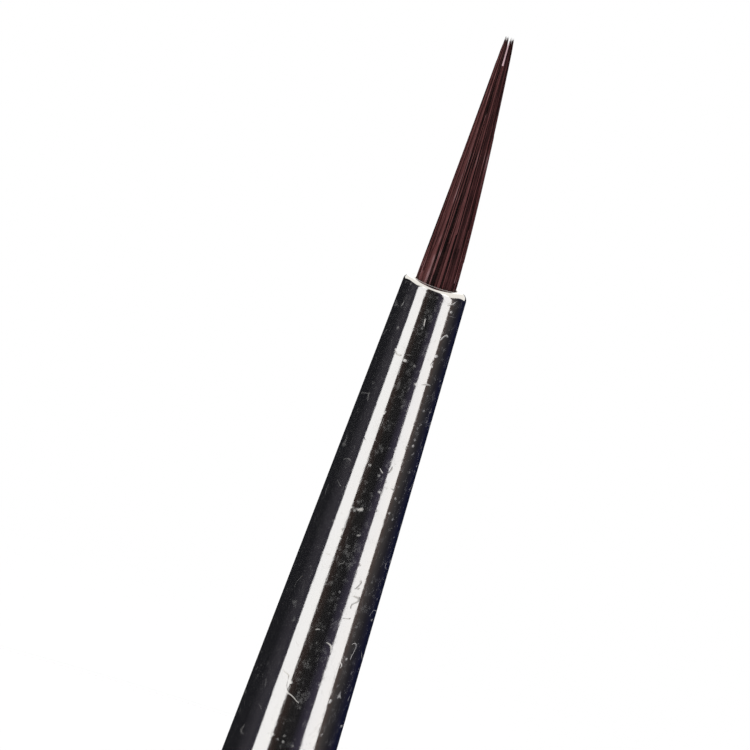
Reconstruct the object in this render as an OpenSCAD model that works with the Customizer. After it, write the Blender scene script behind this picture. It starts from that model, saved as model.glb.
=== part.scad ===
// Fine detail brush: a pointed tuft held in a seamless conical ferrule on a turned wooden handle.
// The brush stands on its tail end with its tip up. The origin is the centre of the tail end, and +Z
// is the brush's axis. The tuft bends about a line along Y, one third of the way up the free hair.

/* [Tuft] */
// Free length of the hair, from the ferrule's mouth to the tips
hair_out = 8.86; // [8:0.01:10]
// Diameter of the tuft at the ferrule's mouth
tuft_d = 1.47; // [1.2:0.01:1.5]
// Diameter of the tuft at the height where it bends
bend_d = 1.19; // [1:0.01:1.2]
// Diameter of the tuft where it splits into two points
point_d = 0.35; // [0.3:0.01:0.5]
// Length of the two points past the end of the tuft
point_len = 0.3; // [0.2:0.05:0.5]
// How far the tips stand to one side of the brush's axis
tip_lean = 0.315; // [0:0.005:0.4]
// Furthest that the tuft bends each way, in degrees
bend_max = 40; // [10:1:40]

/* [Hair inside the ferrule] */
// Length of the hair roots below the ferrule's mouth
root_len = 9; // [8:0.5:10]
// Diameter of one filament at its root
filament_d = 0.09; // [0.06:0.01:0.09]
// Diameter of the binding thread
thread_d = 0.1; // [0.06:0.01:0.1]
// Turns of binding thread round the roots
thread_turns = 12; // [6:1:16]

/* [Ferrule] */
// Outside diameter of the ferrule's mouth
mouth_d = 2.33; // [2.3:0.01:2.6]
// Growth of the cone's diameter for each millimetre of its length
cone_growth = 0.0917; // [0.085:0.0001:0.095]
// Length of the ferrule's cone
cone_len = 20; // [18:0.5:24]
// Length of the straight band behind the cone
band_len = 7; // [6.5:0.5:9]
// Thickness of the ferrule's wall
wall = 0.25; // [0.2:0.01:0.25]
// Depth of the two crimp grooves
crimp_depth = 0.15; // [0.05:0.01:0.2]

/* [Handle] */
// Length of the handle behind the ferrule
handle_len = 149; // [120:1:170]
// Diameter of the handle's belly
belly_d = 6.7; // [5.5:0.1:8]
// Distance of the belly from the ferrule
belly_at = 30; // [20:1:40]
// Diameter of the handle's rounded tail
tail_d = 3; // [2.4:0.1:4]
// Length of the wooden tenon inside the ferrule
tenon_len = 15; // [12:0.5:15]
// Thickness of the lacquer on the handle, and of the dipped colour on its tail
coat = 0.08; // [0.05:0.01:0.1]
// Length of the dipped colour on the tail
dip_len = 34; // [20:1:50]

/* [Hidden] */
$fn = 48;

gap = 0.008;                                // air between pieces that only touch
mouth_r = mouth_d / 2;
band_r = mouth_r + cone_growth / 2 * cone_len;
ferrule_len = cone_len + band_len;
tail_r = tail_d / 2;
tail_z = tail_r + 2 * coat + 2 * gap;       // centre of the tail's round end
rear_z = handle_len;                        // rear edge of the ferrule
mouth_z = rear_z + ferrule_len;             // front edge of the ferrule

bore_r = tuft_d / 2 + 0.02;                 // hole in the mouth
lip_out_r = 0.24;                           // rounding of the lip's outer edge
lip_in_r = 0.05;                            // rounding of its inner edge
lip_len = 1.2;                              // depth at which the lip has thinned to the wall
crimp_r = 0.4;                              // rounding of a crimp groove
crimps = [1.3, 2.9];                        // heights of the two crimps above the ferrule's rear edge

bend_h = hair_out / 3;                      // height of the bend above the mouth
tuft_h = hair_out - bend_h - point_len;     // height of the tuft's split end above the bend
lean = asin(tip_lean / (hair_out - bend_h));
rings = 7.5;                                // the tuft's radius, counted in rings of filaments
core_rings = 5.5;                           // the core's radius, counted the same way
snug = 0.94;                                // filament diameter against the spacing of the rings
joint_gap = 0.05;                           // air between the still and the moving hair
ball_r = bend_d / 2 + 0.03;                 // round foot of the moving hair, centred on the bend
rim_drop = ball_r * sin(bend_max + lean) + joint_gap;

metal = [0.78, 0.78, 0.8];
birch = [0.83, 0.67, 0.45];
clear_coat = [0.86, 0.68, 0.42];
dark_dip = [0.16, 0.05, 0.05];
glue = [0.86, 0.76, 0.5];
thread = [0.9, 0.88, 0.8];
hair_dark = [0.2, 0.09, 0.08];
hair_light = [0.34, 0.2, 0.19];

// Half thicknesses of the three tapers, by height
function cone_r(depth) = mouth_r + cone_growth / 2 * min(depth, cone_len);
function root_r(depth) = bend_d / 2 + (tuft_d - bend_d) / 2 * (depth + bend_h) / bend_h;
function tuft_r(h) = bend_d / 2 - (bend_d - point_d) / 2 * h / tuft_h;

// The handle swells to its belly along a cosine and falls away to the tail along a power curve
function handle_r(s) = s < belly_at
    ? band_r - coat - gap + (belly_d / 2 - coat - band_r) * (1 - cos(180 * s / belly_at)) / 2
    : belly_d / 2 - coat - (belly_d / 2 - coat - tail_r) * pow((s - belly_at) / (rear_z - tail_z - belly_at), 1.3);

// Everything right of the axis, so that a profile can be turned
module turn() {
    rotate_extrude()
        intersection() {
            children();
            translate([0, -50]) square([20, 300]);
        }
}

// Circles that bend a wall at the two crimps, each of radius r
module crimp_rounds(r) {
    for (up = crimps)
        translate([band_r + crimp_r - crimp_depth, rear_z + up]) circle(r);
}

// Half section of the handle behind the ferrule, thickened by grow, with a round tail
module handle_outline(grow) {
    steps = 40;
    turn_step = 10;
    polygon(concat(
        [[0, rear_z]],
        [for (i = [0 : steps])
            let (s = (rear_z - tail_z) * i / steps)
            [handle_r(s) + grow, rear_z - s]],
        [for (a = [turn_step : turn_step : 90])
            [(tail_r + grow) * cos(a), tail_z - (tail_r + grow) * sin(a)]]
    ));
}

// Half section of the space inside the ferrule behind the root glue, reduced by shrink
module tenon_outline(shrink, length) {
    difference() {
        polygon([
            [0, rear_z - 1],
            [band_r - wall - shrink, rear_z - 1],
            [band_r - wall - shrink, rear_z + band_len],
            [cone_r(ferrule_len - length) - wall - shrink, rear_z + length],
            [0, rear_z + length]
        ]);
        crimp_rounds(crimp_r + wall + shrink);
    }
}

module handle() {
    color(birch)
    union() {
        turn() handle_outline(0);
        turn() tenon_outline(coat + 2 * gap, tenon_len);
    }
}

module handle_lacquer() {
    color(clear_coat)
    turn()
        difference() {
            handle_outline(gap + coat);
            handle_outline(gap);
            translate([0, rear_z - gap]) square(20);
        }
}

module tail_dip() {
    color(dark_dip)
    turn()
        difference() {
            handle_outline(2 * (gap + coat));
            handle_outline(2 * gap + coat);
            translate([0, dip_len]) square([20, rear_z]);
        }
}

module tenon_glue() {
    cut_back = 0.4;                         // bare wood left at each end of the glue
    color(glue)
    turn()
        difference() {
            tenon_outline(gap, tenon_len);
            tenon_outline(gap + coat, tenon_len);
            translate([0, rear_z - 2]) square([20, 2 + cut_back]);
            translate([0, rear_z + tenon_len - cut_back]) square(20);
        }
}

module ferrule() {
    color(metal)
    turn()
        difference() {
            union() {
                polygon([
                    [band_r - wall, rear_z],
                    [band_r, rear_z],
                    [band_r, rear_z + band_len],
                    [cone_r(lip_out_r), mouth_z - lip_out_r],
                    [mouth_r - lip_out_r, mouth_z - lip_out_r],
                    [mouth_r - lip_out_r, mouth_z],
                    [bore_r + lip_in_r, mouth_z],
                    [bore_r + lip_in_r, mouth_z - lip_in_r],
                    [bore_r, mouth_z - lip_in_r],
                    [cone_r(lip_len) - wall, mouth_z - lip_len],
                    [band_r - wall, rear_z + band_len]
                ]);
                translate([mouth_r - lip_out_r, mouth_z - lip_out_r]) circle(lip_out_r);
                translate([bore_r + lip_in_r, mouth_z - lip_in_r]) circle(lip_in_r);
                intersection() {
                    crimp_rounds(crimp_r + wall);
                    translate([0, rear_z]) square([band_r, band_len]);
                }
            }
            crimp_rounds(crimp_r);
        }
}

// Resin that fills the ferrule round and behind the bound roots
module root_glue() {
    front = 4.5;                            // depth of its front edge below the mouth
    back = root_len + 2;
    thread_front = thread_depth(0) - thread_d / 2 - gap;
    thread_back = thread_depth(thread_turns - 1) + thread_d / 2 + gap;
    color(glue)
    turn()
        polygon([
            [root_r(front) + gap, mouth_z - front],
            [cone_r(front) - wall - gap, mouth_z - front],
            [cone_r(back) - wall - gap, mouth_z - back],
            [0, mouth_z - back],
            [0, mouth_z - root_len - gap],
            [root_r(root_len) + gap, mouth_z - root_len - gap],
            [root_r(thread_back) + gap, mouth_z - thread_back],
            [root_r(thread_back) + thread_d + 3 * gap, mouth_z - thread_back],
            [root_r(thread_front) + thread_d + 3 * gap, mouth_z - thread_front],
            [root_r(thread_front) + gap, mouth_z - thread_front]
        ]);
}

// Depth of one turn of the binding thread below the mouth: neighbouring turns press together
function thread_depth(i) = root_len - 2.2 + 0.85 * thread_d * i;

module binding_thread() {
    color(thread)
    turn()
        for (i = [0 : thread_turns - 1])
            translate([root_r(thread_depth(i)) + thread_d / 2 + gap, mouth_z - thread_depth(i)])
                circle(d = thread_d);
}

// Still inner hair, dished at its top for the round foot of the moving hair
module root_core() {
    top = bend_h - rim_drop;
    share = core_rings / rings;
    color(hair_dark)
    difference() {
        translate([0, 0, mouth_z - root_len])
            cylinder(h = root_len + top, r1 = share * root_r(root_len), r2 = share * root_r(-top));
        translate([0, 0, mouth_z + bend_h]) sphere(ball_r + joint_gap);
    }
}

// One straight filament from radius r1 at height h1 to radius r2 at height h2
module filament(r1, h1, r2, h2, d1, d2) {
    translate([r1, 0, h1])
        rotate([0, atan((r2 - r1) / (h2 - h1)), 0])
            cylinder(h = norm([r2 - r1, h2 - h1]), d1 = d1, d2 = d2, $fn = 16);
}

// Ring number k of the still hair: each filament stops clear of the moving hair's round foot
module root_ring(k) {
    share = k / rings;
    inner_r = share * bend_d / 2 - filament_d / 2;
    top = bend_h - max(rim_drop, sqrt(pow(ball_r + joint_gap, 2) - pow(inner_r, 2)));
    end_d = snug * root_r(-top) / rings;
    color(k == 7 ? hair_light : hair_dark)
    translate([0, 0, mouth_z])
        for (i = [0 : 6 * k - 1])
            rotate([0, 0, 60 * i / k])
                filament(share * root_r(root_len), -root_len, share * root_r(-top), top, filament_d, end_d);
}

// Ring number k of the moving hair, from its round foot to the tuft's split end
module tuft_ring(k) {
    share = k / rings;
    outer_r = (k + 0.5) / rings * bend_d / 2 + 0.025;
    foot = -sqrt(pow(ball_r, 2) - pow(outer_r, 2));
    foot_d = snug * tuft_r(foot) / rings;
    end_d = snug * tuft_r(tuft_h) / rings;
    color(k == 7 ? hair_light : hair_dark)
    at_bend()
        for (i = [0 : 6 * k - 1])
            rotate([0, 0, 60 * i / k])
                filament(share * tuft_r(foot), foot, share * tuft_r(tuft_h), tuft_h, foot_d, end_d);
}

// The moving hair's own frame: its origin is the bend, and it leans as the tuft does
module at_bend() {
    translate([0, 0, mouth_z + bend_h])
        rotate([0, -lean, 0])
            children();
}

module root_hairs_6() root_ring(6);

module root_hairs_7() root_ring(7);

module tuft_hairs_6() tuft_ring(6);

module tuft_hairs_7() tuft_ring(7);

// Moving inner hair: a cone on a round foot
module tuft_core() {
    foot_r = core_rings / rings * bend_d / 2;
    end_r = core_rings / rings * tuft_r(tuft_h);
    color(hair_dark)
    at_bend()
        turn() {
            circle(foot_r);
            polygon([[0, 0], [foot_r, 0], [end_r, tuft_h], [0, tuft_h]]);
        }
}

// The longest hairs gather into two points
module tip_hairs() {
    end_r = core_rings / rings * tuft_r(tuft_h);
    base_r = 0.48 * end_r;
    tip_r = 0.015;
    color(hair_light)
    at_bend()
        for (side = [0, 180])
            rotate([0, 0, side])
                filament(end_r / 2, tuft_h, 0.7 * end_r, tuft_h + point_len, 2 * base_r, 2 * tip_r);
}

handle();
handle_lacquer();
tail_dip();
tenon_glue();
ferrule();
root_glue();
binding_thread();
root_core();
root_hairs_6();
root_hairs_7();
tuft_core();
tuft_hairs_6();
tuft_hairs_7();
tip_hairs();
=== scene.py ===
import math
import random

import bpy
from mathutils import Matrix, Vector


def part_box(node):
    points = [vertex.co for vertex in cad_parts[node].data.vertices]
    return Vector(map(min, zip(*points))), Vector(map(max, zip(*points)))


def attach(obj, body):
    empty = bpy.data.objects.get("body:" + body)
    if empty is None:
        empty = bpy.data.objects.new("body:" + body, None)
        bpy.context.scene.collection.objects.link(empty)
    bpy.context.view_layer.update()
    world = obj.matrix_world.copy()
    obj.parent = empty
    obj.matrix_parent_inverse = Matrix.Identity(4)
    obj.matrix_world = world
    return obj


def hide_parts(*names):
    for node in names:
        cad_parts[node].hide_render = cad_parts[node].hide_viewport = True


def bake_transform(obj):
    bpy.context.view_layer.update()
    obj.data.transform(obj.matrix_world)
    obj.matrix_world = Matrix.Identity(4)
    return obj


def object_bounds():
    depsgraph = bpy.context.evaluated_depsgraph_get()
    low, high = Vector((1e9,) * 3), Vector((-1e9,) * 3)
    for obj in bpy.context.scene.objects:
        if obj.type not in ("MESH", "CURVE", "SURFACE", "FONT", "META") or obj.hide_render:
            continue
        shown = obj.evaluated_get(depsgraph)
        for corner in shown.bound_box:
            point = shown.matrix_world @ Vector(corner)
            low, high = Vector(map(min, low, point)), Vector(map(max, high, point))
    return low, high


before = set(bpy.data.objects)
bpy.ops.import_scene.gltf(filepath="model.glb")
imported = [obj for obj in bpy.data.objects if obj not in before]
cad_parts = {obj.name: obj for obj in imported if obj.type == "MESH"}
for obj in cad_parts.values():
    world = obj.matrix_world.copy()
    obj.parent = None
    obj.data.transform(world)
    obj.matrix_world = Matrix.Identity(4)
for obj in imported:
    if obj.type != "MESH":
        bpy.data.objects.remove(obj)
CAD_LOW, CAD_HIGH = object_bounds()

MM = 0.001
BODY, TUFT = "brush", "tuft"
REAR_Z, MOUTH_Z = (corner.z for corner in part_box("ferrule"))
BAND_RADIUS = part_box("ferrule")[1].x
TIP_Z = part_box("tip_hairs")[1].z
ROOT_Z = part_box("root_core")[0].z
TAIL_Z, DIP_EDGE_Z = (corner.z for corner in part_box("tail_dip"))
BELLY_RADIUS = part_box("handle_lacquer")[1].x


# ---------------------------------------------------------------- camera

VIEW_WIDTH = 26.13 * MM          # what the picture spans at the ferrule's mouth
VIEW_ELEVATION = math.radians(11.2)
BRUSH_LEAN = math.radians(18.43)  # how far the brush leans to the right in the picture
MOUTH_RIGHT = 2.148 * MM          # place of the mouth's centre from the picture's centre
MOUTH_UP = 3.17 * MM
LENS, SENSOR = 100, 36


def make_camera():
    data = bpy.data.cameras.new("camera")
    data.lens, data.sensor_width = LENS, SENSOR
    data.clip_start, data.clip_end = 0.002, 50
    camera = bpy.data.objects.new("camera", data)
    bpy.context.scene.collection.objects.link(camera)
    forward = Vector((0, math.cos(VIEW_ELEVATION), -math.sin(VIEW_ELEVATION)))
    level_right = Vector((1, 0, 0))
    level_up = level_right.cross(forward)
    lean_cos, lean_sin = math.cos(BRUSH_LEAN), math.sin(BRUSH_LEAN)
    right = lean_cos * level_right + lean_sin * level_up
    up = lean_cos * level_up - lean_sin * level_right
    distance = VIEW_WIDTH * LENS / SENSOR
    centre = Vector((0, 0, MOUTH_Z)) - MOUTH_RIGHT * right - MOUTH_UP * up
    turn = Matrix((right, up, -forward)).transposed().to_4x4()
    camera.matrix_world = Matrix.Translation(centre - distance * forward) @ turn
    bpy.context.scene.camera = camera


# ---------------------------------------------------------------- node graphs

def display(*channels):
    """The linear colour that shows as these 0 to 255 values."""
    shares = [channel / 255 for channel in channels]
    return tuple(s / 12.92 if s < 0.04045 else ((s + 0.055) / 1.055) ** 2.4 for s in shares)


class Graph:
    """A material's or the world's node tree, built one node at a time."""

    def __init__(self, tree):
        tree.nodes.clear()
        self.nodes, self.links = tree.nodes, tree.links

    def feed(self, socket, value):
        """Links an output to a socket, or sets the socket to a number or a colour."""
        if isinstance(value, bpy.types.NodeSocket):
            self.links.new(value, socket)
        elif isinstance(value, tuple) and len(value) == 3 and len(socket.default_value) == 4:
            socket.default_value = (*value, 1)
        else:
            socket.default_value = value

    def node(self, kind, **inputs):
        node = self.nodes.new("ShaderNode" + kind)
        for label, value in inputs.items():
            self.feed(node.inputs[label.replace("_", " ")], value)
        return node

    def math(self, operation, *values):
        node = self.nodes.new("ShaderNodeMath")
        node.operation = operation
        for socket, value in zip(node.inputs, values):
            self.feed(socket, value)
        return node.outputs[0]

    def vector_math(self, operation, *values):
        node = self.nodes.new("ShaderNodeVectorMath")
        node.operation = operation
        for socket, value in zip(node.inputs, values):
            self.feed(socket, value)
        return node.outputs["Vector"]

    def place(self, scale=(1, 1, 1), shift=(0, 0, 0)):
        """Object coordinates in millimetres, scaled and then shifted."""
        source = self.nodes.new("ShaderNodeTexCoord")
        mapping = self.node("Mapping", Location=shift, Scale=tuple(s / MM for s in scale))
        self.links.new(source.outputs["Object"], mapping.inputs["Vector"])
        return mapping.outputs[0]

    def noise(self, vector, scale, detail=3.0, roughness=0.5):
        texture = self.node("TexNoise", Vector=vector, Scale=scale, Detail=detail, Roughness=roughness)
        return texture.outputs["Fac"]

    def remap(self, value, low, high, to_low=0.0, to_high=1.0):
        node = self.nodes.new("ShaderNodeMapRange")
        for socket, number in zip(node.inputs, (value, low, high, to_low, to_high)):
            self.feed(socket, number)
        return node.outputs[0]

    def ramp(self, value, stops):
        node = self.nodes.new("ShaderNodeValToRGB")
        elements = node.color_ramp.elements
        while len(elements) < len(stops):
            elements.new(0.5)
        for element, (place, colour) in zip(elements, stops):
            element.position = place
            element.color = (*colour, 1)
        self.links.new(value, node.inputs[0])
        return node.outputs[0]

    def blend(self, factor, first, second):
        """A colour between two colours."""
        node = self.nodes.new("ShaderNodeMix")
        node.data_type = "RGBA"
        for label, value in (("Factor_Float", factor), ("A_Color", first), ("B_Color", second)):
            socket = next(s for s in node.inputs if s.identifier == label)
            self.feed(socket, value)
        return next(s for s in node.outputs if s.identifier == "Result_Color")

    def bump(self, height, distance, strength=1.0):
        return self.node("Bump", Height=height, Distance=distance, Strength=strength).outputs[0]


def new_material(name):
    """A material with a Principled shader, its graph and that shader's inputs."""
    material = bpy.data.materials.new(name)
    material.use_nodes = True
    graph = Graph(material.node_tree)
    shader = graph.nodes.new("ShaderNodeBsdfPrincipled")
    output = graph.nodes.new("ShaderNodeOutputMaterial")
    graph.links.new(shader.outputs[0], output.inputs[0])
    return material, graph, shader.inputs


# ---------------------------------------------------------------- stage and light

FLOOR_SIZE = 1.6
FLOOR_FADE = (0.15, 0.5)         # distances from the brush between which the floor fades away
FLOOR_COLOUR = (0.93, 0.93, 0.93)
FLOOR_GAP = 0.02 * MM            # air under the brush

# What polished metal reflects, by azimuth in degrees round the brush. The camera's side is 0.
ROOM = [
    (-180, display(29, 29, 32)),
    (-104, display(27, 27, 31)),
    (-72, display(52, 50, 56)),
    (-60, display(42, 40, 50)),
    (-24, display(50, 38, 34)),
    (-6, display(28, 27, 27)),
    (14, display(24, 23, 26)),
    (33, display(56, 52, 66)),
    (70, display(84, 72, 68)),
    (86, display(63, 60, 60)),
    (106, display(38, 37, 42)),
    (128, display(30, 30, 47)),
    (141, display(18, 21, 44)),
    (180, display(26, 27, 40)),
]

# What lights matt surfaces, by the same azimuths. The right side of the room is dim and bluish.
AMBIENT = [
    (-180, (0.9, 0.9, 0.9)),
    (-120, (1.1, 1.1, 1.1)),
    (-60, (1.3, 1.3, 1.3)),
    (25, (1.3, 1.3, 1.3)),
    (60, (0.07, 0.09, 0.26)),
    (160, (0.07, 0.09, 0.26)),
    (180, (0.9, 0.9, 0.9)),
]


# The bright ceiling in reflections, in distances per unit of height above the brush.
CEILING_SIDE = 1.4
CEILING_REAR_SIDE, CEILING_SPREAD = 0.75, 0.74
CEILING_FRONT = 0.45
CEILING_SOFTNESS = 0.12
CEILING_FROM = (0.09, 0.14)      # sines of the elevations between which it starts, far behind
CEILING_MIRRORED = (1.02, 0.99, 0.94)
CEILING_MATT = (1.3, 1.29, 1.25)    # what it gives to matt surfaces
CEILING_MATT_FROM = (0.5, 0.75)  # and the sines of the elevations between which that starts
LEAST_RISE = 0.02                # keeps the distances per unit of height finite


def make_floor():
    mesh = bpy.data.meshes.new("floor")
    half = FLOOR_SIZE / 2
    corners = [(-half, -half, 0), (half, -half, 0), (half, half, 0), (-half, half, 0)]
    mesh.from_pydata(corners, [], [(0, 1, 2, 3)])
    floor = bpy.data.objects.new("floor", mesh)
    floor.location.z = CAD_LOW.z - FLOOR_GAP
    bpy.context.scene.collection.objects.link(floor)
    floor.visible_glossy = False
    material, graph, shader = new_material("floor_paper")
    graph.feed(shader["Base Color"], FLOOR_COLOUR)
    graph.feed(shader["Roughness"], 0.9)
    source = graph.nodes.new("ShaderNodeTexCoord")
    length = graph.nodes.new("ShaderNodeVectorMath")
    length.operation = "LENGTH"
    graph.links.new(source.outputs["Object"], length.inputs[0])
    near, far = FLOOR_FADE
    graph.feed(shader["Alpha"], graph.remap(length.outputs["Value"], near, far, 1.0, 0.0))
    mesh.materials.append(material)


def ceiling_share(graph, parts):
    """How much of the bright ceiling shows in a direction with these parts, from 0 to 1."""
    height = graph.math("MAXIMUM", parts["Z"], LEAST_RISE)
    aside = graph.math("DIVIDE", graph.math("ABSOLUTE", parts["X"]), height)
    back = graph.math("DIVIDE", parts["Y"], height)
    spread = graph.math("MULTIPLY_ADD", back, CEILING_SPREAD, CEILING_REAR_SIDE)
    beyond_side = graph.math("SUBTRACT", aside, graph.math("MAXIMUM", spread, CEILING_SIDE))
    beyond_front = graph.math("SUBTRACT", -CEILING_FRONT, back)
    beyond = graph.math("MAXIMUM", beyond_side, beyond_front)
    within = graph.remap(beyond, -CEILING_SOFTNESS, CEILING_SOFTNESS, 1.0, 0.0)
    risen = graph.remap(parts["Z"], *CEILING_FROM)
    return graph.math("MULTIPLY", risen, within)


def walls(graph, turn_share, stops):
    """A colour by azimuth, from stops in degrees."""
    return graph.ramp(turn_share, [((degrees + 180) / 360, colour) for degrees, colour in stops])


def make_world():
    """White to the camera, bright to matt surfaces, and a dark room in reflections."""
    world = bpy.data.worlds.new("studio")
    bpy.context.scene.world = world
    world.use_nodes = True
    graph = Graph(world.node_tree)
    direction = graph.nodes.new("ShaderNodeTexCoord").outputs["Generated"]
    parts = graph.node("SeparateXYZ", Vector=direction).outputs
    azimuth = graph.math("ARCTAN2", parts["X"], graph.math("MULTIPLY", parts["Y"], -1.0))
    turn_share = graph.remap(azimuth, -math.pi, math.pi)
    mirrored = graph.blend(ceiling_share(graph, parts), walls(graph, turn_share, ROOM), CEILING_MIRRORED)
    upward = graph.remap(parts["Z"], *CEILING_MATT_FROM)
    matt = graph.blend(upward, walls(graph, turn_share, AMBIENT), CEILING_MATT)
    rays = graph.nodes.new("ShaderNodeLightPath").outputs
    lit = graph.blend(rays["Is Glossy Ray"], matt, mirrored)
    seen = graph.blend(rays["Is Camera Ray"], lit, (1.0, 1.0, 1.0))
    output = graph.nodes.new("ShaderNodeOutputWorld")
    graph.links.new(graph.node("Background", Color=seen).outputs[0], output.inputs[0])


STRIP_LOW, STRIP_HIGH = -0.9, 1.9
STRIP_DISTANCE = 1.0


def strip_light(name, azimuth, span, radiance):
    """An upright panel at an azimuth round the brush, spanning so many degrees of it.
    Only its reflections show."""
    width = 2 * STRIP_DISTANCE * math.tan(math.radians(span / 2))
    height = STRIP_HIGH - STRIP_LOW
    data = bpy.data.lights.new(name, "AREA")
    data.shape = "RECTANGLE"
    data.size, data.size_y = width, height
    data.energy = radiance * math.pi * width * height
    strip = bpy.data.objects.new(name, data)
    bpy.context.scene.collection.objects.link(strip)
    turn = math.radians(azimuth)
    away = Vector((math.sin(turn), -math.cos(turn), 0))
    place = STRIP_DISTANCE * away + Vector((0, 0, (STRIP_LOW + STRIP_HIGH) / 2))
    strip.matrix_world = Matrix.Translation(place) @ away.to_track_quat("Z", "Y").to_matrix().to_4x4()
    strip.visible_camera = False
    strip.visible_diffuse = False


def make_lights():
    strip_light("left_strip", -42, 31, 1.04)
    strip_light("right_strip", 54.3, 31.5, 1.0)
    strip_light("rear_strip", 180, 16, 1.0)


# ---------------------------------------------------------------- materials

def film(graph):
    """A thin uneven film of dust."""
    return graph.remap(graph.noise(graph.place((1, 1, 0.7)), 4.0, 5.0, 0.75), 0.53, 0.75, 0.0, 0.22)


def specks(graph):
    """Specks of dust in clusters. Some cells of the pattern hold a speck."""
    cells = graph.node("TexVoronoi", Vector=graph.place(), Scale=5.0).outputs
    size = graph.remap(cells["Distance"], 0.1, 0.36, 1.3, 0.0)
    pick = graph.node("SeparateColor", Color=cells["Color"]).outputs[0]
    cluster = graph.remap(graph.noise(graph.place(shift=(3, 1, 0)), 0.7), 0.46, 0.6)
    return graph.math("MULTIPLY", size, graph.math("MULTIPLY", graph.remap(pick, 0.7, 1.0), cluster))


def lint(graph):
    """Short curved lengths of lint: parts of the lines where a noise crosses its middle value."""
    path = graph.noise(graph.place(shift=(2, 6, 3)), 1.1, 1.0)
    off_line = graph.math("ABSOLUTE", graph.math("SUBTRACT", path, 0.5))
    line = graph.remap(off_line, 0.005, 0.02, 1.0, 0.0)
    stretch = graph.remap(graph.noise(graph.place(shift=(6, 3, 11)), 1.4, 1.0), 0.6, 0.64)
    return graph.math("MULTIPLY", line, stretch)


def dust(graph):
    """Where dust lies, from 0 to 1. There is little of it on the left."""
    across = graph.node("SeparateXYZ", Vector=graph.place()).outputs["X"]
    cover = graph.remap(across, -1.1, -0.3, 0.12, 1.0)
    lumps = graph.math("MAXIMUM", specks(graph), lint(graph))
    return graph.math("MULTIPLY", cover, graph.math("MAXIMUM", film(graph), lumps))


SATIN_FROM = (0.97, 0.995)       # upward parts of the normals between which the plate turns satin
SATIN_ROUGHNESS = 0.5


def nickel():
    """Bright nickel plate: drawn lengthwise, finely scratched, a little dusty and satin on top."""
    material, graph, shader = new_material("nickel_plate")
    dirt = graph.math("MULTIPLY", dust(graph), 0.6)
    scratches = graph.remap(graph.noise(graph.place((14, 14, 0.5)), 1.0, 4.0, 0.6), 0.56, 0.72)
    haze = graph.noise(graph.place((1, 1, 0.3)), 1.2)
    plate = graph.blend(haze, display(228, 227, 226), display(236, 235, 232))
    graph.feed(shader["Base Color"], graph.blend(dirt, plate, display(186, 180, 168)))
    graph.feed(shader["Metallic"], graph.math("SUBTRACT", 1.0, dirt))
    smudged = graph.remap(haze, 0.3, 0.7, 0.07, 0.09)
    worn = graph.math("MULTIPLY_ADD", scratches, 0.05, smudged)
    facing = graph.nodes.new("ShaderNodeTexCoord").outputs["Normal"]
    upward = graph.node("SeparateXYZ", Vector=facing).outputs["Z"]
    satin = graph.remap(upward, *SATIN_FROM, 0.0, SATIN_ROUGHNESS)
    clean = graph.math("MAXIMUM", worn, satin)
    graph.feed(shader["Roughness"], graph.math("MAXIMUM", clean, graph.math("MULTIPLY", dirt, 0.8)))
    height = graph.math("ADD", graph.math("MULTIPLY", dirt, 16.0), scratches)
    graph.feed(shader["Normal"], graph.bump(height, 0.0008 * MM, 0.5))
    return material


def lacquered_birch():
    """Pale close-grained wood under a clear gloss coat."""
    material, graph, shader = new_material("lacquered_birch")
    figure = graph.noise(graph.place((1, 1, 0.06)), 0.7, 2.0)
    grain = graph.noise(graph.place((1, 1, 0.025)), 4.0, 6.0, 0.65)
    pores = graph.remap(graph.noise(graph.place((1, 1, 0.07)), 11.0, 2.0), 0.62, 0.7)
    both = graph.math("ADD", graph.math("MULTIPLY", figure, 0.5), graph.math("MULTIPLY", grain, 0.5))
    wood = graph.ramp(both, [
        (0.36, display(176, 128, 76)),
        (0.5, display(205, 160, 103)),
        (0.64, display(224, 186, 131)),
    ])
    marks = graph.math("MULTIPLY", pores, 0.5)
    graph.feed(shader["Base Color"], graph.blend(marks, wood, display(120, 80, 44)))
    graph.feed(shader["Roughness"], graph.remap(grain, 0.3, 0.7, 0.5, 0.36))
    graph.feed(shader["Coat Weight"], 1.0)
    graph.feed(shader["Coat Roughness"], 0.05)
    ripple = graph.noise(graph.place((1, 1, 0.4)), 0.8, 2.0)
    graph.feed(shader["Coat Normal"], graph.bump(ripple, 0.02 * MM, 0.4))
    graph.feed(shader["Normal"], graph.bump(grain, 0.01 * MM, 0.5))
    return material


def dipped_lacquer():
    """Dark red-brown gloss with a slow ripple, a few fine scratches and a trace of dust."""
    material, graph, shader = new_material("dipped_lacquer")
    depth = graph.noise(graph.place((1, 1, 0.3)), 0.5, 2.0)
    colour = graph.blend(depth, display(50, 20, 19), display(70, 29, 26))
    dirt = graph.math("MULTIPLY", dust(graph), 0.25)
    graph.feed(shader["Base Color"], graph.blend(dirt, colour, display(150, 140, 130)))
    scratches = graph.remap(graph.noise(graph.place((9, 9, 0.6)), 1.0, 3.0, 0.6), 0.6, 0.7)
    graph.feed(shader["Roughness"], graph.remap(scratches, 0.0, 1.0, 0.12, 0.3))
    graph.feed(shader["Normal"], graph.bump(depth, 0.03 * MM, 0.4))
    return material


def bare_birch():
    material, graph, shader = new_material("birch")
    grain = graph.noise(graph.place((1, 1, 0.03)), 3.5, 6.0, 0.6)
    wood = graph.ramp(grain, [(0.35, display(186, 146, 98)), (0.65, display(226, 196, 150))])
    graph.feed(shader["Base Color"], wood)
    graph.feed(shader["Roughness"], 0.75)
    graph.feed(shader["Normal"], graph.bump(grain, 0.03 * MM, 0.6))
    return material


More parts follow.
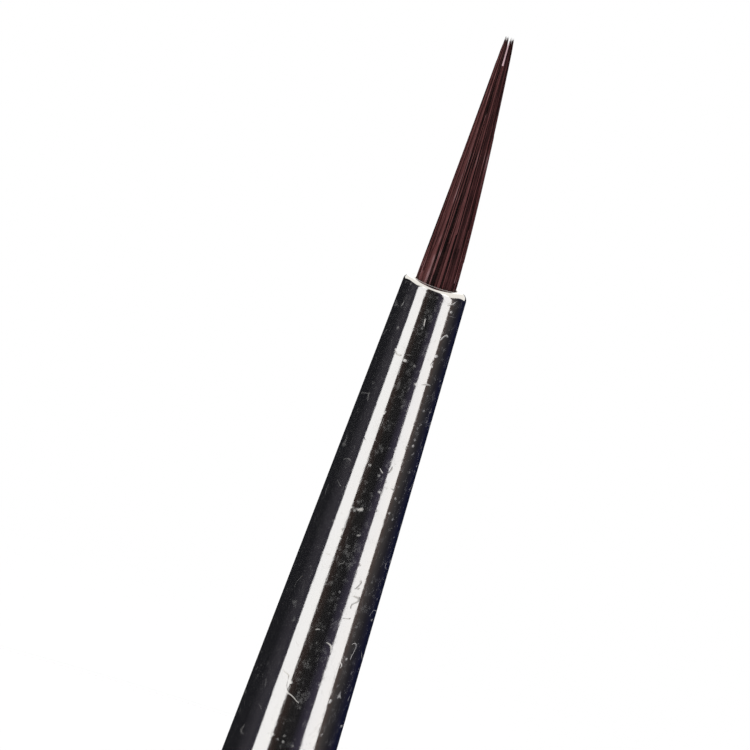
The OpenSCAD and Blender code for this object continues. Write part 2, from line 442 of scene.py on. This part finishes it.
def epoxy():
    """Cured amber resin with small bubbles."""
    material, graph, shader = new_material("epoxy")
    cloud = graph.noise(graph.place(), 1.5)
    bubbles = graph.node("TexVoronoi", Vector=graph.place(), Scale=4.0).outputs["Distance"]
    amber = graph.blend(cloud, display(168, 116, 40), display(206, 162, 84))
    graph.feed(shader["Base Color"], amber)
    graph.feed(shader["Roughness"], graph.remap(bubbles, 0.0, 0.5, 0.45, 0.15))
    graph.feed(shader["Normal"], graph.bump(bubbles, 0.02 * MM, 0.5))
    return material


def binding_thread():
    """Off-white thread: fibres that slant along each turn."""
    material, graph, shader = new_material("thread")
    fibres = graph.noise(graph.place((30, 30, 4)), 1.0, 3.0)
    graph.feed(shader["Base Color"], graph.blend(fibres, display(196, 188, 164), display(238, 232, 214)))
    graph.feed(shader["Roughness"], 0.85)
    graph.feed(shader["Normal"], graph.bump(fibres, 0.01 * MM, 0.8))
    return material


def hair_material():
    """Dark red-brown filament. Each strand has its own tone, which drifts along its length.
    The tuft is sized, so its surface shades partly as one smooth skin over the strands."""
    material, graph, shader = new_material("filament")
    tone = graph.node("Attribute")
    tone.attribute_name = "tone"
    along = graph.node("Attribute")
    along.attribute_name = "along"
    own = graph.math("MULTIPLY", tone.outputs["Fac"], 40.0)
    spot = graph.node("CombineXYZ", X=own, Y=0.0, Z=along.outputs["Fac"]).outputs[0]
    drift = graph.remap(graph.noise(spot, 1.0, 2.0), 0.3, 0.7, -0.22, 0.22)
    streak = graph.remap(graph.noise(graph.place((18, 18, 0.5)), 1.0, 2.0), 0.3, 0.7, -0.14, 0.14)
    # Painted light: the tone is raised near the ferrule's mouth and inside it, standing in for light that
    # the ferrule's lip keeps off the base.
    painted_light_at_base = graph.remap(along.outputs["Fac"], 0.1, 1.3, 0.16, 0.0)
    varied = graph.math("ADD", drift, graph.math("ADD", streak, painted_light_at_base))
    shade = graph.math("ADD", tone.outputs["Fac"], varied)
    colour = graph.ramp(graph.math("DIVIDE", shade, 2.0), [
        # The core's tone 0 sits near this near-black stop as painted shade; the darker strands shade into
        # it as their own colour.
        (0.0, (0.006, 0.001, 0.001)),
        (0.22, (0.040, 0.010, 0.010)),
        (0.5, (0.120, 0.038, 0.037)),
        # This pale top stop is reached almost only by the glint strand, a painted highlight; the palest
        # strands lean towards it.
        (1.0, (0.60, 0.42, 0.44)),
    ])
    graph.feed(shader["Base Color"], colour)
    graph.feed(shader["Roughness"], graph.remap(streak, -0.14, 0.14, 0.5, 0.36))
    graph.feed(shader["Specular IOR Level"], 0.12)
    outward = graph.node("Attribute")
    outward.attribute_name = "outward"
    own_normal = graph.nodes.new("ShaderNodeNewGeometry").outputs["Normal"]
    packed = graph.vector_math("ADD", own_normal, outward.outputs["Vector"])
    graph.feed(shader["Normal"], graph.vector_math("NORMALIZE", packed))
    return material


# ---------------------------------------------------------------- turned pieces

# The CAD's own dimensions, where its pieces' boxes don't give them.
CONE_GROWTH = 0.0917             # growth of the ferrule's diameter along its cone
CONE_LEN = 20 * MM
BAND_LEN = 7 * MM
WALL = 0.25 * MM
MOUTH_RADIUS = BAND_RADIUS - CONE_GROWTH / 2 * CONE_LEN
BORE_RADIUS = 0.755 * MM
LIP_OUTER, LIP_INNER = 0.24 * MM, 0.05 * MM
LIP_LEN = 1.2 * MM               # depth of the solid lip
REAR_EDGE = 0.07 * MM            # rounding of the ferrule's rear edge
CRIMPS = (1.3 * MM, 2.9 * MM)    # heights of the crimps above the rear edge
CRIMP_DEPTH = 0.15 * MM
TAIL_RADIUS = 1.5 * MM
BELLY_AT = 30 * MM
COAT = 0.08 * MM
GAP = 0.008 * MM

# What the photo shows beyond the CAD's round shape.
LIP_WORN = 0.06 * MM             # how much rounder the lip is on its right than on average
MOUTH_SLANT = math.radians(1)    # the mouth isn't trimmed quite square
SLANT_REACH = 3 * MM

CRIMP_HALF_WIDTH = 0.36 * MM
CRIMP_HALF_WIDTH_INSIDE = 0.41 * MM


def arc(centre_r, centre_z, radius, start, stop, steps=10):
    """Points of an arc in the half plane of a turned outline. Angles in degrees from outward to up."""
    angles = [math.radians(start + (stop - start) * i / steps) for i in range(steps + 1)]
    return [(centre_r + radius * math.cos(a), centre_z + radius * math.sin(a)) for a in angles]


def turned(name, outline, material, segments=192):
    """A closed outline of (radius, height) points at each turn about the brush's axis, as one surface."""
    points, rings, faces = [], [], []
    turns = [2 * math.pi * i / segments for i in range(segments)]
    for level in zip(*(outline(turn) for turn in turns)):
        count = segments if level[0][0] > 0 else 1
        rings.append(range(len(points), len(points) + count))
        for turn, (radius, height) in list(zip(turns, level))[:count]:
            points.append((radius * math.cos(turn), radius * math.sin(turn), height))
    for near, far in zip(rings, rings[1:] + rings[:1]):
        for i in range(segments):
            j = (i + 1) % segments
            corners = [near[i % len(near)], near[j % len(near)], far[j % len(far)], far[i % len(far)]]
            corners = list(dict.fromkeys(corners))
            if len(corners) > 2:
                faces.append(corners)
    mesh = bpy.data.meshes.new(name)
    mesh.from_pydata(points, [], faces)
    mesh.shade_smooth()
    mesh.set_sharp_from_angle(angle=math.radians(40))
    mesh.materials.append(material)
    piece = bpy.data.objects.new(name, mesh)
    bpy.context.scene.collection.objects.link(piece)
    return piece


def cone_radius(height):
    return MOUTH_RADIUS + CONE_GROWTH / 2 * min(MOUTH_Z - height, CONE_LEN)


def crimp(height, half_width):
    """Depth of the crimp grooves at this height."""
    depths = [
        CRIMP_DEPTH * (1 + math.cos(math.pi * (height - REAR_Z - up) / half_width)) / 2
        for up in CRIMPS
        if abs(height - REAR_Z - up) < half_width
    ]
    return max(depths, default=0)


def steps(low, high, count):
    return [low + (high - low) * i / (count - 1) for i in range(count)]


def ferrule_outline(turn):
    """Closed outline of the ferrule's wall, whose outer lip is rounder on the right."""
    band_z = REAR_Z + BAND_LEN
    edge_z = REAR_Z + REAR_EDGE
    lip = LIP_OUTER + LIP_WORN * math.cos(turn)
    top_z = MOUTH_Z - lip
    outline = arc(BAND_RADIUS - REAR_EDGE, edge_z, REAR_EDGE, -90, 0)
    outline += [(BAND_RADIUS - crimp(z, CRIMP_HALF_WIDTH), z) for z in steps(edge_z, band_z, 160)[1:]]
    outline += [(cone_radius(z), z) for z in steps(band_z, top_z, 40)[1:]]
    outline += arc(cone_radius(top_z) - lip, top_z, lip, 0, 90, 18)[1:]
    outline += arc(BORE_RADIUS + LIP_INNER, MOUTH_Z - LIP_INNER, LIP_INNER, 90, 180)
    outline += [(cone_radius(MOUTH_Z - LIP_LEN) - WALL, MOUTH_Z - LIP_LEN)]
    outline += [(cone_radius(z) - WALL, z) for z in steps(MOUTH_Z - LIP_LEN, band_z, 20)[1:]]
    inside_band = steps(band_z, REAR_Z, 160)[1:]
    outline += [(BAND_RADIUS - WALL - crimp(z, CRIMP_HALF_WIDTH_INSIDE), z) for z in inside_band]
    return outline


def make_ferrule():
    ferrule = turned("ferrule_tube", ferrule_outline, nickel())
    for vertex in ferrule.data.vertices:
        depth = (MOUTH_Z - vertex.co.z) / SLANT_REACH
        vertex.co.z -= vertex.co.x * math.tan(MOUTH_SLANT) * max(0, 1 - depth) ** 2
    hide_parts("ferrule")
    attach(ferrule, BODY)


def handle_radius(height, coats):
    """The wood's radius at this height, plus so many coats on it."""
    tail_z = TAIL_RADIUS + 2 * (COAT + GAP)
    wood_belly = BELLY_RADIUS - COAT - GAP
    along = REAR_Z - height
    if along < BELLY_AT:
        neck = BAND_RADIUS - COAT - GAP
        radius = neck + (wood_belly - neck) * (1 - math.cos(math.pi * along / BELLY_AT)) / 2
    else:
        fall = (along - BELLY_AT) / (REAR_Z - tail_z - BELLY_AT)
        radius = wood_belly - (wood_belly - TAIL_RADIUS) * fall ** 1.3
    return radius + coats * (COAT + GAP)


def coat_skin(coats, high, edge):
    """Closed outline of one coat on the handle, from the tail up to this height, with a rounded edge."""
    tail_z = TAIL_RADIUS + 2 * (COAT + GAP)
    outer = TAIL_RADIUS + coats * (COAT + GAP)
    inner = outer - COAT
    outline = arc(0, tail_z, outer, -90, 0, 16)[1:]
    outline += [(handle_radius(z, coats), z) for z in steps(tail_z, high - edge, 140)[1:]]
    outline += arc(handle_radius(high, coats) - edge, high - edge, edge, 0, 90, 6)[1:]
    outline += [(handle_radius(z, coats) - COAT, z) for z in steps(high, tail_z, 140)]
    outline += arc(0, tail_z, inner, 0, -90, 16)[1:-1]
    return [(0, tail_z - outer)] + outline + [(0, tail_z - inner)]


def make_coats():
    clear = coat_skin(1, REAR_Z - GAP, 0.05 * MM)
    lacquer = turned("clear_coat", lambda turn: clear, lacquered_birch())
    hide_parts("handle_lacquer")
    dipped = coat_skin(2, DIP_EDGE_Z, 0.06 * MM)
    dip = turned("dipped_tail", lambda turn: dipped, dipped_lacquer())
    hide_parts("tail_dip")
    for piece in (lacquer, dip):
        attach(piece, BODY)


def dress(node, material):
    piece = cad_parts[node]
    piece.data.materials.clear()
    piece.data.materials.append(material)
    piece.data.shade_smooth()
    piece.data.set_sharp_from_angle(angle=math.radians(40))


# ---------------------------------------------------------------- hair

FREE_HAIR = TIP_Z - MOUTH_Z
BASE_RADIUS = 0.735 * MM         # the tuft's radius at the ferrule's mouth
POINT_RADIUS = 0.17 * MM         # and where it ends
ROOT_FLARE = 0.046               # growth of its radius with depth inside the ferrule
SPLIT_FROM = FREE_HAIR - 0.5 * MM    # height at which the hairs start to gather into two points
PRONG_APART = 0.19 * MM          # distance between the two points
PRONG_RADIUS = 0.06 * MM
CLUMPS = 7                       # the outer hairs lean together in clumps
SIDES = 8                        # sides of one filament
SKIN_SHARE = 1.3                 # how much the tuft's skin counts in the shading beside the strands


def tuft_radius(height):
    if height < 0:
        return BASE_RADIUS - ROOT_FLARE * height
    return POINT_RADIUS + (BASE_RADIUS - POINT_RADIUS) * (1 - (height / FREE_HAIR) ** 1.15)


def tuft_centre(height):
    """How far the middle of the tuft stands off the brush's axis along X."""
    if height < 0:
        return -0.02 * MM * (1 - height / (ROOT_Z - MOUTH_Z))
    return -0.02 * MM - 0.29 * MM * (height / FREE_HAIR) ** 1.6


def smooth(value):
    value = max(0, min(1, value))
    return value * value * (3 - 2 * value)


def tuft_point(height, angle, share):
    """A point of the tuft at this height. Towards the tip each half gathers into its own point."""
    radius = share * tuft_radius(height)
    whole = Vector((tuft_centre(height) + radius * math.cos(angle), radius * math.sin(angle)))
    side = 1 if math.cos(angle) > 0 else -1
    opened = 2 * math.atan2(math.sin(angle), side * math.cos(angle))
    middle = tuft_centre(height) + side * PRONG_APART / 2
    prong = Vector((middle + side * PRONG_RADIUS * share * math.cos(opened),
                    PRONG_RADIUS * share * math.sin(opened)))
    return whole.lerp(prong, smooth((height - SPLIT_FROM) / (FREE_HAIR - SPLIT_FROM)))


class Strands:
    """Collects tubes into one mesh, each with its own tone."""

    def __init__(self):
        self.points, self.faces, self.tones, self.alongs, self.outwards = [], [], [], [], []

    def add(self, line, radii, tone, sides=SIDES):
        first = len(self.points)
        for place, radius in zip(line[:-1], radii):
            for side in range(sides):
                angle = 2 * math.pi * side / sides
                self.points.append(place + radius * Vector((math.cos(angle), math.sin(angle), 0)))
        self.points.append(line[-1])
        rings = len(line) - 1
        for ring in range(rings - 1):
            for side in range(sides):
                a = first + ring * sides + side
                b = first + ring * sides + (side + 1) % sides
                self.faces.append((a, b, b + sides, a + sides))
        top = first + (rings - 1) * sides
        apex = first + rings * sides
        for side in range(sides):
            self.faces.append((top + side, top + (side + 1) % sides, apex))
        self.faces.append(tuple(first + side for side in reversed(range(sides))))
        self.tones += [tone] * (rings * sides + 1)
        self.alongs += [(place.z - MOUTH_Z) / MM for place in line[:-1] for _ in range(sides)]
        self.alongs.append((line[-1].z - MOUTH_Z) / MM)
        for point in self.points[first:]:
            aside = Vector((point.x - tuft_centre(point.z - MOUTH_Z), point.y, 0))
            self.outwards.extend(SKIN_SHARE * aside.normalized())

    def build(self, name, material):
        mesh = bpy.data.meshes.new(name)
        mesh.from_pydata(self.points, [], self.faces)
        for label, values in (("tone", self.tones), ("along", self.alongs)):
            mesh.attributes.new(label, "FLOAT", "POINT").data.foreach_set("value", values)
        mesh.attributes.new("outward", "FLOAT_VECTOR", "POINT").data.foreach_set("vector", self.outwards)
        mesh.shade_smooth()
        mesh.materials.append(material)
        piece = bpy.data.objects.new(name, mesh)
        bpy.context.scene.collection.objects.link(piece)
        return piece


def add_strand(strands, low, high, angles, share, thickness, tone):
    """One filament from height low to high. angles(z) is its place round the tuft."""
    line, radii = [], []
    for z in steps(low, high, 48):
        x, y = tuft_point(z, angles(z), share)
        line.append(Vector((x, y, MOUTH_Z + z)))
        gathered = smooth((z - SPLIT_FROM) / (FREE_HAIR - SPLIT_FROM))
        width = tuft_radius(z) * (1 - gathered) + 1.6 * PRONG_RADIUS * gathered
        radii.append(width * thickness * (1 - 0.25 * max(z, 0) / FREE_HAIR))
    strands.add(line, radii, tone)


def make_ring(count, share, seed, low, end):
    """One ring of filaments, each wandering a little about its own place in the tuft."""
    rng = random.Random(seed)
    strands = Strands()
    spacing = 2 * math.pi / count
    clump_turn = rng.uniform(0, 2 * math.pi)
    for i in range(count):
        start = spacing * (i + rng.uniform(-0.25, 0.25))
        wave = rng.uniform(-0.9, 0.9) * spacing
        phase = rng.uniform(0, 2 * math.pi)
        pace = rng.uniform(1.5, 4.0)

        def angles(z):
            up = max(z, 0) / FREE_HAIR
            lean = -0.6 * up * math.sin(CLUMPS * start + clump_turn) / CLUMPS
            return start + lean + wave * up * math.sin(phase + pace * up)

        thickness = rng.uniform(0.75, 1.2) * math.pi * share / count
        stop = end - abs(rng.gauss(0, 0.09)) * MM
        tone = min(1, max(0, rng.gauss(0.47, 0.31)))
        add_strand(strands, low, stop, angles, share * rng.uniform(0.96, 1.0), thickness, tone)
    return strands


def add_surface_hairs(strands, count, seed):
    """Finer hairs that lie across the outer ring, some light and some dark."""
    rng = random.Random(seed)
    for i in range(count):
        start = 2 * math.pi * (i + rng.random()) / count
        drift = rng.uniform(-0.35, 0.35)
        low = rng.uniform(-1.0, 3.0) * MM
        high = rng.uniform(0.6, 0.99) * FREE_HAIR
        tone = rng.choice((0.1, 0.3, 0.8, 0.95))
        add_strand(strands, low, high, lambda z: start + drift * z / FREE_HAIR, 0.985, 0.028, tone)


# The glint hair is a painted highlight: one strand with a very pale tone.
GLINT_FROM = 7.85 * MM
GLINT_SHORT = 0.15 * MM          # how far it ends before the tip
PAINTED_GLINT_TONE = 1.85


def add_painted_glint(strands):
    """A painted highlight: one strand in front between the two points, given a very pale tone that stands
    in for a glint.
    """
    front = math.radians(-86)
    add_strand(strands, GLINT_FROM, FREE_HAIR - GLINT_SHORT, lambda z: front, 1.04, 0.15, PAINTED_GLINT_TONE)


def make_core(name, share, material, low, end):
    """The inside of the tuft, behind the rings, with tone 0, the darkest: painted shade between the
    strands.
    """
    strands = Strands()
    zs = steps(low, end, 40)
    line = [Vector((tuft_centre(z), 0, MOUTH_Z + z)) for z in zs]
    radii = [share * tuft_radius(z) for z in zs]
    # Tone 0 paints the core near black, as painted shade in the gaps between the strands.
    strands.add(line, radii, 0.0, sides=48)
    return strands.build(name, material)


# How many hairs, how far out as a share of the tuft's radius, and the random seed.
OUTER_RING = (44, 0.94, 11)
MIDDLE_RING = (36, 0.82, 2)
INNER_RING = (30, 0.69, 3)
SURFACE_HAIRS, SURFACE_SEED = 30, 5
CORE_SHARE = 0.62


def make_hair():
    material = hair_material()
    low = ROOT_Z - MOUTH_Z
    strands = make_ring(*OUTER_RING, low, FREE_HAIR)
    add_surface_hairs(strands, SURFACE_HAIRS, SURFACE_SEED)
    add_painted_glint(strands)
    outer = strands.build("outer_hairs", material)
    middle = make_ring(*MIDDLE_RING, low, FREE_HAIR).build("middle_hairs", material)
    inner = make_ring(*INNER_RING, low, FREE_HAIR).build("inner_hairs", material)
    core = make_core("hair_core_painted_shade", CORE_SHARE, material, low, SPLIT_FROM)
    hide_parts("root_hairs_7", "tuft_hairs_7", "tip_hairs")
    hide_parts("root_hairs_6", "tuft_hairs_6")
    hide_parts("root_core", "tuft_core")
    for piece in (outer, middle, inner, core):
        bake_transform(piece)


# ---------------------------------------------------------------- the whole

make_camera()
make_world()
make_floor()
make_lights()
make_ferrule()
make_coats()
dress("handle", bare_birch())
resin = epoxy()
dress("tenon_glue", resin)
dress("root_glue", resin)
dress("binding_thread", binding_thread())
make_hair()
bpy.context.scene.view_settings.view_transform = "Standard"
